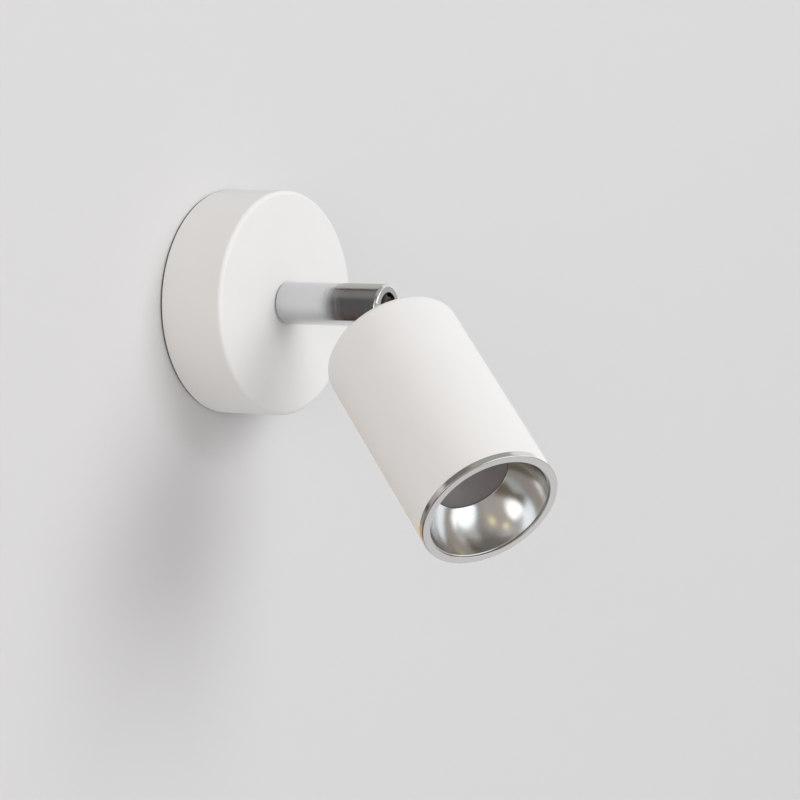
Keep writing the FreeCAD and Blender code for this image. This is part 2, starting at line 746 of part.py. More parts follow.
def neck_collar():
    collar_back = HEAD_START - COLLAR_HEIGHT
    return turned([
        at(NIPPLE_RADIUS, collar_back),
        at(COLLAR_RADIUS - COLLAR_CHAMFER, collar_back),
        at(COLLAR_RADIUS, collar_back + COLLAR_CHAMFER),
        at(COLLAR_RADIUS, HEAD_START),
        at(NIPPLE_RADIUS, HEAD_START),
    ])


def head_shell():
    edge = HEAD_EDGE_RADIUS
    inner_edge = max(edge - HEAD_WALL, LEAST_CORNER)
    hole = NIPPLE_RADIUS + RUNNING_GAP
    return turned([
        at(hole, HEAD_START),
        at(HEAD_RADIUS - edge, HEAD_START),
        corner(at(HEAD_RADIUS - edge, HEAD_START + edge), edge, -90, 0),
        at(HEAD_RADIUS, HEAD_END),
        at(HEAD_BORE, HEAD_END),
        at(HEAD_BORE, HEAD_INSIDE + inner_edge),
        corner(at(HEAD_BORE - inner_edge, HEAD_INSIDE + inner_edge), inner_edge, 0, -90),
        at(hole, HEAD_INSIDE),
    ])


def neck_washer():
    return tube(WASHER_RADIUS, NIPPLE_RADIUS, WASHER_BACK, NECK_NUT_BACK)


def neck_nut():
    return nut(NECK_NUT_BACK)


def holder_bracket():
    # Its foot is clamped under the neck nut, and its two turned-in ends carry the lampholder.
    outer_bend = BRACKET_BEND_RADIUS + BRACKET_THICKNESS
    low = at(BRACKET_LEG - outer_bend, HEAD_INSIDE + outer_bend)
    high = at(BRACKET_LEG - outer_bend, HOLDER_BACK - outer_bend)
    tip = HOLDER_SCREW_OFFSET - HOLDER_SCREW_HEAD_RADIUS
    half = outline([
        at(0, HEAD_INSIDE),
        at(low.x, HEAD_INSIDE),
        corner(low, outer_bend, -90, 0),
        at(BRACKET_LEG, high.z),
        corner(high, outer_bend, 0, 90),
        at(tip, HOLDER_BACK),
        at(tip, HOLDER_BACK - BRACKET_THICKNESS),
        at(high.x, HOLDER_BACK - BRACKET_THICKNESS),
        corner(high, BRACKET_BEND_RADIUS, 90, 0),
        at(BRACKET_LEG - BRACKET_THICKNESS, low.z),
        corner(low, BRACKET_BEND_RADIUS, 0, -90),
        at(0, WASHER_BACK),
    ])
    bracket = strip(half, BRACKET_WIDTH)
    bracket = bracket.cut(rod(NIPPLE_RADIUS + RUNNING_GAP, HEAD_INSIDE, WASHER_BACK))
    for side in SIDES:
        place = side * HOLDER_SCREW_OFFSET
        tapped = rod(HOLDER_SCREW_RADIUS, HOLDER_BACK - BRACKET_THICKNESS, HOLDER_BACK, 0, place)
        bracket = bracket.cut(tapped)
    return bracket


def twist_slot(half_width, start, end):
    # A slot of constant width along the arc on which a lamp pin turns, from its lock to its way out.
    def point(radius, angle, along=0.0):
        turn = math.radians(angle)
        sideways = Vector(-math.sin(turn), math.cos(turn), 0) * along
        return Vector(radius * math.cos(turn), radius * math.sin(turn), start) + sideways

    inner = PIN_CIRCLE - half_width
    outer = PIN_CIRCLE + half_width
    slot = outline([
        point(inner, 0),
        (point(PIN_CIRCLE, 0, -half_width), point(outer, 0)),
        (point(outer, TWIST_ANGLE / 2), point(outer, TWIST_ANGLE)),
        (point(PIN_CIRCLE, TWIST_ANGLE, half_width), point(inner, TWIST_ANGLE)),
        (point(inner, TWIST_ANGLE / 2), point(inner, 0)),
    ])
    return slot.extrude(Z_AXIS * (end - start))


def lamp_holder():
    # Each pin's head drops through a round entry, then turns under the narrower keyhole slot.
    holder = rod(HOLDER_RADIUS, HOLDER_BACK, HOLDER_FRONT)
    rims = [edge for edge in holder.Edges if isinstance(edge.Curve, Part.Circle)]
    holder = holder.makeFillet(HOLDER_EDGE_RADIUS, rims)
    turn = math.radians(TWIST_ANGLE)
    entry_x = PIN_CIRCLE * math.cos(turn)
    entry_y = PIN_CIRCLE * math.sin(turn)
    key = twist_slot(PIN_RADIUS + KEY_GAP, CAVITY_FRONT, HOLDER_FRONT)
    cavity = twist_slot(PIN_HEAD_RADIUS + KEY_GAP, CAVITY_BACK, CAVITY_FRONT)
    entry = rod(PIN_HEAD_RADIUS + KEY_GAP, CAVITY_FRONT, HOLDER_FRONT, entry_x, entry_y)
    lead_hole = rod(LEAD_PORT_RADIUS, HOLDER_BACK, CAVITY_BACK, PIN_CIRCLE)
    pole = key.fuse([cavity, entry, lead_hole])
    holder = holder.cut(pole).cut(opposite(pole))
    head_start = HOLDER_FRONT - HOLDER_SCREW_SINK - HOLDER_SCREW_HEAD
    for side in SIDES:
        place = side * HOLDER_SCREW_OFFSET
        holder = holder.cut(rod(HOLDER_SCREW_RADIUS + RUNNING_GAP, HOLDER_BACK, head_start, 0, place))
        holder = holder.cut(rod(HOLDER_SCREW_HEAD_RADIUS, head_start, HOLDER_FRONT, 0, place))
    return holder


def holder_contacts():
    # Each contact is a folded leaf that bears on the end of a lamp pin.
    contact_front = PIN_TIP - RUNNING_GAP
    half = CONTACT_WIDTH / 2
    leaf = outline([
        at(-half, CAVITY_BACK),
        at(half, CAVITY_BACK),
        at(half, CAVITY_BACK + CONTACT_THICKNESS),
        at(CONTACT_THICKNESS - half, CAVITY_BACK + CONTACT_THICKNESS),
        at(CONTACT_THICKNESS - half, contact_front - CONTACT_THICKNESS),
        at(half, contact_front - CONTACT_THICKNESS),
        at(half, contact_front),
        at(-half, contact_front),
    ]).extrude(Y_AXIS * CONTACT_WIDTH)
    leaf.translate(Vector(PIN_CIRCLE, -half, 0))
    return Part.makeCompound([leaf, opposite(leaf)])


def holder_screws():
    head_end = HOLDER_FRONT - HOLDER_SCREW_SINK
    fixing = screw(
        HOLDER_SCREW_RADIUS,
        HOLDER_SCREW_HEAD_RADIUS,
        HOLDER_BACK - 2 * BRACKET_THICKNESS,
        head_end - HOLDER_SCREW_HEAD,
        head_end,
    )
    fixing.translate(Y_AXIS * HOLDER_SCREW_OFFSET)
    return Part.makeCompound([fixing, opposite(fixing)])


def head_leads():
    # From the stem's leads, over the pivot screw beside the tongue, in through the side port and along
    # the neck to the lampholder.
    unturned = FreeCAD.Rotation(X_AXIS, -TILT_AT_REST)
    leads = []
    for side in SIDES:
        near = side * LEAD_SPACING / 2
        wide = side * LEAD_SPREAD
        pin = side * PIN_CIRCLE
        leads.append(bent_wire([
            unturned.multVec(Vector(wide, LEAD_LIFT, LEAD_REACH)),
            unturned.multVec(Vector(wide, LEAD_LIFT, LEAD_REACH + LEAD_CREST)),
            at(wide, LEAD_PORT_OFFSET),
            at(near, LEAD_PORT_OFFSET),
            at(near, NECK_END),
            at(pin, NECK_END + PIN_CIRCLE),
            at(pin, CAVITY_BACK),
        ], LEAD_TIGHT_BEND, LEAD_RADIUS))
    return Part.makeCompound(leads)


# ---------------------------------------------------------------- lamp


def lamp_body():
    base_end = LAMP_BACK + LAMP_BASE_LENGTH
    rim_start = LAMP_FRONT - LAMP_RIM
    edge = LAMP_EDGE_RADIUS
    bulge = at((LAMP_BASE_RADIUS + LAMP_RADIUS) / 2 + LAMP_BULGE, (base_end + rim_start) / 2)
    return turned([
        at(0, LAMP_BACK),
        at(LAMP_BASE_RADIUS - edge, LAMP_BACK),
        corner(at(LAMP_BASE_RADIUS - edge, LAMP_BACK + edge), edge, -90, 0),
        at(LAMP_BASE_RADIUS, base_end),
        (bulge, at(LAMP_RADIUS, rim_start)),
        at(LAMP_RADIUS, LAMP_FRONT - edge),
        corner(at(LAMP_RADIUS - edge, LAMP_FRONT - edge), edge, 0, 90),
        at(LENS_RADIUS, LAMP_FRONT),
        at(LENS_RADIUS, LAMP_FRONT - LENS_THICKNESS),
        at(0, LAMP_FRONT - LENS_THICKNESS),
    ])


def lamp_lens():
    return rod(LENS_RADIUS, LAMP_FRONT - LENS_THICKNESS, LAMP_FRONT)


def lamp_pins():
    pin = turned([
        at(0, PIN_TIP),
        at(PIN_HEAD_RADIUS, PIN_TIP),
        at(PIN_HEAD_RADIUS, PIN_TIP + PIN_HEAD),
        at(PIN_RADIUS, PIN_TIP + PIN_HEAD),
        at(PIN_RADIUS, LAMP_BACK),
        at(0, LAMP_BACK),
    ])
    pin.translate(X_AXIS * PIN_CIRCLE)
    return Part.makeCompound([pin, opposite(pin)])


# ---------------------------------------------------------------- front ring


def front_ring():
    # A band and a flat lip round the mouth, on a skirt whose groove holds the retaining cord.
    groove = CORD_RADIUS + RUNNING_GAP
    groove_bottom = HEAD_BORE - CORD_GAP - 2 * CORD_RADIUS
    lip_back = RING_END - RING_LIP
    return turned([
        at(SKIRT_BORE, HEAD_END - SKIRT_LENGTH),
        at(SKIRT_RADIUS, HEAD_END - SKIRT_LENGTH),
        at(SKIRT_RADIUS, CORD_PLACE - groove),
        at(groove_bottom, CORD_PLACE - groove),
        at(groove_bottom, CORD_PLACE + groove),
        at(SKIRT_RADIUS, CORD_PLACE + groove),
        at(SKIRT_RADIUS, HEAD_END),
        at(RING_RADIUS, HEAD_END),
        at(RING_RADIUS, RING_END - RING_CHAMFER),
        at(RING_RADIUS - RING_CHAMFER, RING_END),
        at(MOUTH_RADIUS, RING_END),
        at(MOUTH_RADIUS, lip_back),
        at(SKIRT_BORE, lip_back),
    ])


def retaining_cord():
    radius = HEAD_BORE - CORD_GAP - CORD_RADIUS
    return Part.makeTorus(radius, CORD_RADIUS, at(0, CORD_PLACE), Z_AXIS)


def reflector():
    # A slightly bulged cone with a flange that the front ring's lip holds.
    front = RING_END - RING_LIP
    throat = LAMP_FRONT + LAMP_GAP
    middle = (front + throat) / 2
    middle_radius = (REFLECTOR_MOUTH_RADIUS + REFLECTOR_THROAT_RADIUS) / 2 + REFLECTOR_BULGE
    slope = (REFLECTOR_MOUTH_RADIUS - REFLECTOR_THROAT_RADIUS) / (front - throat)
    outside = REFLECTOR_WALL * math.sqrt(1 + slope**2)
    outside_at_flange = REFLECTOR_MOUTH_RADIUS + outside - slope * REFLECTOR_FLANGE
    return turned([
        at(REFLECTOR_THROAT_RADIUS, throat),
        at(REFLECTOR_THROAT_RADIUS + outside, throat),
        (at(middle_radius + outside, middle), at(outside_at_flange, front - REFLECTOR_FLANGE)),
        at(SKIRT_BORE - TIGHT_GAP, front - REFLECTOR_FLANGE),
        at(SKIRT_BORE - TIGHT_GAP, front),
        at(REFLECTOR_MOUTH_RADIUS, front),
        (at(middle_radius, middle), at(REFLECTOR_THROAT_RADIUS, throat)),
    ])


# ---------------------------------------------------------------- putting it together


def on_wall(shape):
    # Turns a piece's own Z away from the wall.
    shape.rotate(ORIGIN, X_AXIS, 90)
    return shape


def on_arm(shape):
    shape.rotate(ORIGIN, Z_AXIS, -SWIVEL_AT_REST)
    return on_wall(shape)


def on_head(shape):
    shape.rotate(ORIGIN, X_AXIS, TILT_AT_REST)
    shape.translate(Z_AXIS * PIVOT)
    return on_arm(shape)


WALL_PIECES = (
    wall_gasket,
    mounting_strap,
    cable_grommet,
    earth_screw,
    terminal_block,
    terminal_clamps,
    terminal_screws,
    block_screw,
    canopy,
    canopy_screws,
    swivel_bush,
    thrust_washer,
    stop_pin,
    canopy_leads,
)
ARM_PIECES = (
    stem_tube,
    stem_plug,
    stop_washer,
    disc_spring,
    stem_nut,
    pressure_spring,
    friction_cup,
    pivot_screw,
    stem_leads,
)
HEAD_PIECES = (
    knuckle,
    neck_collar,
    head_shell,
    neck_washer,
    neck_nut,
    holder_bracket,
    lamp_holder,
    holder_contacts,
    holder_screws,
    head_leads,
    lamp_body,
    lamp_lens,
    lamp_pins,
    front_ring,
    retaining_cord,
    reflector,
)

os.makedirs("parts", exist_ok=True)
for pieces, place in ((WALL_PIECES, on_wall), (ARM_PIECES, on_arm), (HEAD_PIECES, on_head)):
    for piece in pieces:
        place(piece()).exportStep(f"parts/{piece.__name__}.step")
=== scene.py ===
from math import radians

import bmesh
import bpy
from mathutils import Matrix, Vector


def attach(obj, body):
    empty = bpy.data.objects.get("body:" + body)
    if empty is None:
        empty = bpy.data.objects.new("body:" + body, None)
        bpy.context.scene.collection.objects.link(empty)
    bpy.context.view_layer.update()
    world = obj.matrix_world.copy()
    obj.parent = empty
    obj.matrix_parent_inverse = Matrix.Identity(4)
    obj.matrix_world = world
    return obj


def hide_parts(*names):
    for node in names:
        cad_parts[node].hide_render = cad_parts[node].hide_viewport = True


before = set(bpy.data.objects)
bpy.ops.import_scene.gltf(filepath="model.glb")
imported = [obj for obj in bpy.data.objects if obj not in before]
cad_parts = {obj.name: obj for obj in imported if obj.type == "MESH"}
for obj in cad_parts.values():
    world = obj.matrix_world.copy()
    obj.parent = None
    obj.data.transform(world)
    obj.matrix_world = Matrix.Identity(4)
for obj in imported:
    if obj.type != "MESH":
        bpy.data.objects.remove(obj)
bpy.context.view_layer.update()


# ---------------------------------------------------------------------------------------------------
# Canopy: the spun steel cup that covers the wall fixing, powder coated white with a slightly soft skin.
# Its front edge is rolled over, and two small holes in its side let the fixing screws in.

MM = 0.001
WALL = Matrix.Rotation(radians(90), 4, "X")


class Socket:
    """An output in a node tree. Sums on it add their Math nodes, and node() adds any other node."""

    def __init__(self, tree, output=None):
        self.tree = tree
        self.output = output

    def node(self, kind, settings, inputs, output=0):
        made = self.tree.nodes.new(kind)
        for name, value in settings.items():
            if name == "choices":
                while len(made.index_switch_items) < value:
                    made.index_switch_items.new()
            else:
                setattr(made, name, value)
        for name, value in inputs.items():
            if isinstance(value, Socket):
                self.tree.links.new(value.output, made.inputs[name])
            else:
                made.inputs[name].default_value = value
        return Socket(self.tree, made.outputs[output])

    def maths(self, operation, *values):
        return self.node("ShaderNodeMath", {"operation": operation}, dict(enumerate(values)))

    def __add__(self, other):
        return self.maths("ADD", self, other)

    def __radd__(self, other):
        return self.maths("ADD", other, self)

    def __sub__(self, other):
        return self.maths("SUBTRACT", self, other)

    def __rsub__(self, other):
        return self.maths("SUBTRACT", other, self)

    def __mul__(self, other):
        return self.maths("MULTIPLY", self, other)

    def __rmul__(self, other):
        return self.maths("MULTIPLY", other, self)

    def noise(self, scale, detail):
        return self.node("ShaderNodeTexNoise", {}, {"Vector": self, "Scale": scale, "Detail": detail})

    def between(self, low, high):
        """A colour from low to high, as this value goes from 0 to 1. Each is a colour or a Socket."""
        low, high = (colour if isinstance(colour, Socket) else (*colour, 1) for colour in (low, high))
        return self.node("ShaderNodeMix", {"data_type": "RGBA"}, {0: self, 6: low, 7: high}, 2)

    def relief(self, depth, strength):
        inputs = {"Height": self, "Distance": depth, "Strength": strength}
        return self.node("ShaderNodeBump", {}, inputs)


def finish(name, constants, pattern):
    """A material. Pattern takes the object's coordinates and returns what feeds the shader."""
    made = bpy.data.materials.new(name)
    made.use_nodes = True
    shader = made.node_tree.nodes["Principled BSDF"]
    for socket, value in constants.items():
        shader.inputs[socket].default_value = value
    coordinates = Socket(made.node_tree).node("ShaderNodeTexCoord", {}, {}, "Object")
    for socket, value in pattern(coordinates).items():
        made.node_tree.links.new(value.output, shader.inputs[socket])
    return made


def evaluated(name, shape, place):
    """The finished mesh of a shape, turned into place. Its flat faces stay flat beside its edges."""
    flats = shape.modifiers.new("flats", "WEIGHTED_NORMAL")
    flats.weight = 100
    bpy.context.view_layer.update()
    solid = bpy.data.meshes.new_from_object(shape.evaluated_get(bpy.context.evaluated_depsgraph_get()))
    solid.transform(place)
    bpy.data.objects.remove(shape)
    made = bpy.data.objects.new(name, solid)
    bpy.context.scene.collection.objects.link(made)
    return made


def turned(name, sizes, corners, material, around=256, steps=8):
    """A turned shape. Corners gives (radius, height, rounding) round its half section, clockwise."""
    sweep = 1.0
    tree = bpy.data.node_groups.new(name + "_section", "GeometryNodeTree")
    tree.interface.new_socket("Shape", in_out="OUTPUT", socket_type="NodeSocketGeometry")
    names = {
        size: tree.interface.new_socket(size, in_out="INPUT", socket_type="NodeSocketFloat").identifier
        for size in sizes
    }
    entry = tree.nodes.new("NodeGroupInput")
    given = {size: Socket(tree, entry.outputs[size]) for size in sizes}
    points = corners(given)
    start = Socket(tree)
    index = start.node("GeometryNodeInputIndex", {}, {})
    places = {"Index": index}
    roundings = {"Index": index}
    for number, (radius, height, rounding) in enumerate(points):
        profile = start.node("ShaderNodeCombineXYZ", {}, {"X": radius - sweep, "Y": 0 - height})
        places[str(number)] = profile
        roundings[str(number)] = rounding
    count = len(points)
    line = start.node("GeometryNodeMeshLine", {}, {"Count": count})
    place = start.node("GeometryNodeIndexSwitch", {"data_type": "VECTOR", "choices": count}, places)
    line = start.node("GeometryNodeSetPosition", {}, {"Geometry": line, "Position": place})
    line = start.node("GeometryNodeMeshToCurve", {}, {"Mesh": line})
    line = start.node("GeometryNodeSetSplineCyclic", {}, {"Geometry": line, "Cyclic": True})
    edge = start.node("GeometryNodeIndexSwitch", {"data_type": "FLOAT", "choices": count}, roundings)
    rounded = {"Curve": line, "Count": steps, "Radius": edge, "Limit Radius": True}
    line = start.node("GeometryNodeFilletCurve", {"mode": "POLY"}, rounded)
    ring = start.node("GeometryNodeCurvePrimitiveCircle", {}, {"Resolution": around, "Radius": sweep})
    skin = start.node("GeometryNodeCurveToMesh", {}, {"Curve": ring, "Profile Curve": line})
    skin = start.node("GeometryNodeMergeByDistance", {}, {"Geometry": skin, "Distance": 2e-6})
    skin = start.node("GeometryNodeSetShadeSmooth", {}, {"Geometry": skin})
    skin = start.node("GeometryNodeRealizeInstances", {}, {"Geometry": skin})
    skin = start.node("GeometryNodeSetMaterial", {}, {"Geometry": skin, "Material": material})
    tree.links.new(skin.output, tree.nodes.new("NodeGroupOutput").inputs["Shape"])
    shape = bpy.data.objects.new(name + "_shape", bpy.data.meshes.new(name + "_shape"))
    bpy.context.scene.collection.objects.link(shape)
    section = shape.modifiers.new("section", "NODES")
    section.node_group = tree
    for size, identifier in names.items():
        section[identifier] = sizes[size]
    return shape


def bored(shape, radius, start, end, place):
    """Bores a round hole into a shape, along the Z axis of a place, and returns the drill.

    The drill is turned a little, so that its corners miss the shape's own columns of corners.
    """
    drill = bmesh.new()
    ends = {"radius1": radius, "radius2": radius, "cap_ends": True}
    bmesh.ops.create_cone(drill, segments=64, depth=end - start, **ends)
    bmesh.ops.translate(drill, verts=drill.verts, vec=(0, 0, (start + end) / 2))
    mesh = bpy.data.meshes.new("drill")
    drill.to_mesh(mesh)
    drill.free()
    off_the_columns = Matrix.Rotation(radians(2), 4, "Z")
    mesh.transform(place @ off_the_columns)
    cutter = bpy.data.objects.new("drill", mesh)
    bpy.context.scene.collection.objects.link(cutter)
    cut = shape.modifiers.new("bore", "BOOLEAN")
    cut.operation = "DIFFERENCE"
    cut.object = cutter
    return cutter


def powder_coat(here):
    peel = here.noise(1300, 2.0)
    cloud = here.noise(60, 3.0)
    return {
        "Base Color": cloud.between((0.845, 0.842, 0.836), (0.868, 0.866, 0.860)),
        "Roughness": 0.40 + 0.10 * cloud,
        "Normal": peel.relief(0.00002, 0.35),
    }


white_paint = finish("white_paint", {"Specular IOR Level": 0.45}, powder_coat)
canopy_sizes = {
    "Radius": 50 * MM,
    "Depth": 32.6 * MM,
    "Back": 0.8 * MM,
    "Wall": 1.5 * MM,
    "Front edge": 2.0 * MM,
    "Back edge": 0.35 * MM,
    "Bush hole": 6.2 * MM,
    "Bush hole edge": 0.25 * MM,
}
CRISP = 0.1 * MM
SHARP = 0.05 * MM


def canopy_section(size):
    inside = size["Radius"] - size["Wall"]
    under = size["Depth"] - size["Wall"]
    return [
        (inside, size["Back"], size["Back edge"]),
        (inside, under, size["Front edge"] - size["Wall"]),
        (size["Bush hole"], under, CRISP),
        (size["Bush hole"], size["Depth"], size["Bush hole edge"]),
        (size["Radius"], size["Depth"], size["Front edge"]),
        (size["Radius"], size["Back"], size["Back edge"]),
    ]


canopy = turned("canopy", canopy_sizes, canopy_section, white_paint, steps=12)
screw_hole = 2.05 * MM
screw_place = Matrix.Translation((0, 0, 8.5 * MM))
drills = []
for turn in (90, -90):
    sideways = Matrix.Rotation(radians(turn), 4, "X")
    place = screw_place @ sideways
    drills.append(bored(canopy, screw_hole, start=44 * MM, end=52 * MM, place=place))
canopy = evaluated("canopy_cup", canopy, WALL)
for drill in drills:
    bpy.data.objects.remove(drill)
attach(canopy, "wall_base")
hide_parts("canopy")


# ---------------------------------------------------------------------------------------------------
# Gasket, cable grommet and retaining cord: soft dark grey rubber rings. The gasket closes the canopy
# against the wall, the grommet lines the house cable's hole, and the cord holds the front ring.


def dress(material, *nodes):
    for node in nodes:
        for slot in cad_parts[node].material_slots:
            slot.material = material


def moulded_rubber(here):
    grain = here.noise(2600, 3.0)
    bloom = here.noise(130, 2.0)
    return {
        "Base Color": bloom.between((0.075, 0.075, 0.073), (0.115, 0.114, 0.111)),
        "Roughness": 0.62 + 0.14 * bloom,
        "Normal": grain.relief(0.00002, 0.5),
    }


grey_rubber = finish("grey_rubber", {"Specular IOR Level": 0.35}, moulded_rubber)
dress(grey_rubber, "wall_gasket", "cable_grommet", "retaining_cord")


# ---------------------------------------------------------------------------------------------------
# Mounting strap: pressed zinc-plated steel, screwed to the wall, with an ear at each end for the
# canopy's screws. The hidden screws, nuts, pins and bracket have the same bright, cloudy plating.


def zinc_plate(here):
    cloud = here.noise(160, 4.0)
    drawn_out = here.node("ShaderNodeMapping", {}, {"Vector": here, "Scale": (1, 1, 0.03)})
    rolled = drawn_out.noise(2400, 2.0)
    return {
        "Base Color": cloud.between((0.52, 0.54, 0.56), (0.66, 0.67, 0.68)),
        "Roughness": 0.26 + 0.16 * cloud + 0.06 * rolled,
        "Normal": rolled.relief(0.00001, 0.4),
    }


zinc_steel = finish("zinc_steel", {"Metallic": 1.0}, zinc_plate)
dress(zinc_steel, "mounting_strap", "canopy_screws", "terminal_screws", "block_screw", "holder_screws")
dress(zinc_steel, "stem_plug", "stop_washer", "stem_nut", "neck_washer", "neck_nut", "holder_bracket")
dress(zinc_steel, "stop_pin", "pivot_screw")


# ---------------------------------------------------------------------------------------------------
# Earth screw, terminal clamps and holder contacts: plain brass with the faint lines of its turning. The
# clamps grip the wires in their block, and the contacts grip the lamp's pins in its holder.


def turned_brass(here):
    cloud = here.noise(220, 3.0)
    lines = here.noise(4200, 1.0)
    return {
        "Base Color": cloud.between((0.62, 0.42, 0.16), (0.76, 0.54, 0.23)),
        "Roughness": 0.22 + 0.14 * cloud,
        "Normal": lines.relief(0.000006, 0.5),
    }


brass = finish("brass", {"Metallic": 1.0}, turned_brass)
dress(brass, "earth_screw", "terminal_clamps", "holder_contacts")


# ---------------------------------------------------------------------------------------------------
# Terminal block and thrust washer: white nylon mouldings, a little milky, with a fine moulded grain. The
# block joins the house cable to the leads, and the washer lets the stem turn under its nut.


def white_moulding(here):
    grain = here.noise(1900, 2.0)
    cloud = here.noise(120, 2.0)
    return {
        "Base Color": cloud.between((0.74, 0.73, 0.69), (0.82, 0.81, 0.78)),
        "Roughness": 0.44 + 0.12 * cloud,
        "Normal": grain.relief(0.00001, 0.4),
    }


white_nylon = finish("white_nylon", {"Specular IOR Level": 0.5}, white_moulding)
dress(white_nylon, "terminal_block", "thrust_washer")


# ---------------------------------------------------------------------------------------------------
# Swivel bush and friction cup: black nylon bearings, worn slightly smooth. The bush's flange shows as
# the thin dark line between the canopy and the stem.


def black_moulding(here):
    grain = here.noise(2100, 2.0)
    rubbed = here.noise(240, 3.0)
    return {
        "Base Color": rubbed.between((0.016, 0.016, 0.017), (0.034, 0.034, 0.035)),
        "Roughness": 0.38 + 0.18 * rubbed,
        "Normal": grain.relief(0.00001, 0.5),
    }


black_nylon = finish("black_nylon", {"Specular IOR Level": 0.5}, black_moulding)
dress(black_nylon, "swivel_bush", "friction_cup")


# ---------------------------------------------------------------------------------------------------
# Springs: hard drawn steel wire and a dished steel washer, grey and finely scored along the wire. The
# wire spring presses the cup on the knuckle, and the washer keeps the stem's swivel tight.


def spring_wire(here):
    score = here.noise(3600, 2.0)
    heat = here.noise(90, 3.0)
    return {
        "Base Color": heat.between((0.30, 0.29, 0.27), (0.44, 0.43, 0.42)),
        "Roughness": 0.28 + 0.12 * score,
        "Normal": score.relief(0.000006, 0.5),
    }


spring_steel = finish("spring_steel", {"Metallic": 1.0}, spring_wire)
dress(spring_steel, "disc_spring", "pressure_spring")


# ---------------------------------------------------------------------------------------------------
# Leads: thin wires in a woven glass sleeve, off-white with a fine diagonal braid. They run from the
# terminal block through the swivel and the stem to the lampholder.


def braid(here):
    threads = {"Vector": here, "Scale": 900}
    weave = here.node("ShaderNodeTexWave", {"bands_direction": "DIAGONAL"}, threads)
    soil = here.noise(200, 3.0)
    return {
        "Base Color": soil.between((0.60, 0.57, 0.50), (0.74, 0.71, 0.64)),
        "Roughness": 0.70 + 0.12 * soil,
        "Normal": weave.relief(0.00004, 0.6),
    }


lead_sleeve = finish("lead_sleeve", {"Specular IOR Level": 0.3}, braid)
dress(lead_sleeve, "canopy_leads", "stem_leads", "head_leads")


# ---------------------------------------------------------------------------------------------------
# Stem: a brass tube, polished and chromium plated. Its end is drawn in round a hole, and a slot under
# it lets the head's neck swing down. The faint rings left by polishing soften what it mirrors.

SWIVEL = radians(-24.4)
ARM = WALL @ Matrix.Rotation(SWIVEL, 4, "Z")


def along(here, place):
    """The coordinates in a piece's own frame, with its Z along the axis on which it was turned."""
    turn = place.to_euler()
    inputs = {"Vector": here, "Location": place.translation, "Rotation": turn}
    return here.node("ShaderNodeMapping", {"vector_type": "TEXTURE"}, inputs)


def lathe_lines(here, place, scale):
    """Fine rings round the axis of a place, on a tube, a cone and a flat face alike."""
    own = along(here, place)
    flat = own.node("ShaderNodeVectorMath", {"operation": "MULTIPLY"}, {0: own, 1: (1, 1, 0)})
    radius = own.node("ShaderNodeVectorMath", {"operation": "LENGTH"}, {0: flat}, "Value")
    height = own.node("ShaderNodeSeparateXYZ", {}, {"Vector": own}, "Z")
    lines = {"W": radius + height, "Scale": scale, "Detail": 3.0}
    return own.node("ShaderNodeTexNoise", {"noise_dimensions": "1D"}, lines)


def chromium(here):
    rings = lathe_lines(here, ARM, 20000)
    haze = here.noise(70, 3.0)
    return {
        "Base Color": haze.between((0.66, 0.67, 0.69), (0.72, 0.73, 0.75)),
        "Roughness": 0.07 + 0.04 * haze,
        "Normal": rings.relief(0.000011, 1.0),
    }


polished_chrome = finish("polished_chrome", {"Metallic": 1.0}, chromium)
dress(polished_chrome, "stem_tube")


# ---------------------------------------------------------------------------------------------------
# Knuckle: the dark, satin steel joint that swings in the stem's end and carries the head on its neck. It
# is turned and browned, and hangs on a pivot screw.


def browned_steel(here):
    rubbed = here.noise(260, 3.0)
    grain = here.noise(3000, 2.0)
    return {
        "Base Color": rubbed.between((0.085, 0.088, 0.097), (0.140, 0.146, 0.160)),
        "Roughness": 0.30 + 0.14 * rubbed,
        "Normal": grain.relief(0.000008, 0.4),
    }


black_steel = finish("black_steel", {"Metallic": 0.8}, browned_steel)
dress(black_steel, "knuckle")


# ---------------------------------------------------------------------------------------------------
# Neck collar: a small chromium-plated ring that sits between the neck and the back of the head. It is
# turned, and the nut inside the head clamps it there.

TILT_AXIS = 74.9 * MM
TILT = radians(45.2)
HEAD = ARM @ Matrix.Translation((0, 0, TILT_AXIS)) @ Matrix.Rotation(TILT, 4, "X")
collar_sizes = {
    "Radius": 7.5 * MM,
    "Bore": 5.0 * MM,
    "Back": 24.1 * MM,
    "Front": 27.6 * MM,
    "Edge": 0.7 * MM,
}


def collar_section(size):
    return [
        (size["Bore"], size["Back"], CRISP),
        (size["Bore"], size["Front"], SHARP),
        (size["Radius"], size["Front"], CRISP),
        (size["Radius"], size["Back"], size["Edge"]),
    ]


collar = turned("collar", collar_sizes, collar_section, polished_chrome, around=96)
collar = evaluated("collar_ring", collar, HEAD)
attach(collar, "head")
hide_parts("neck_collar")


# ---------------------------------------------------------------------------------------------------
# Head shell: a deep drawn steel can, closed and rounded at the back, in the same white powder coat. The
# knuckle's neck comes in through a hole in its back.

shell_sizes = {
    "Radius": 30.87 * MM,
    "Wall": 1.4 * MM,
    "Back": 27.6 * MM,
    "Back wall": 1.8 * MM,
    "Front": 127.3 * MM,
    "Back edge": 3.55 * MM,
    "Front edge": 0.25 * MM,
    "Front inner edge": 0.2 * MM,
    "Neck hole": 5.05 * MM,
}


def shell_section(size):
    inside = size["Radius"] - size["Wall"]
    floor = size["Back"] + size["Back wall"]
    return [
        (size["Radius"], size["Back"], size["Back edge"]),
        (size["Neck hole"], size["Back"], CRISP),
        (size["Neck hole"], floor, CRISP),
        (inside, floor, size["Back edge"] - size["Wall"]),
        (inside, size["Front"], size["Front inner edge"]),
        (size["Radius"], size["Front"], size["Front edge"]),
    ]


shell = turned("shell", shell_sizes, shell_section, white_paint, steps=12)
shell = evaluated("shell_can", shell, HEAD)
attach(shell, "head")
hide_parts("head_shell")


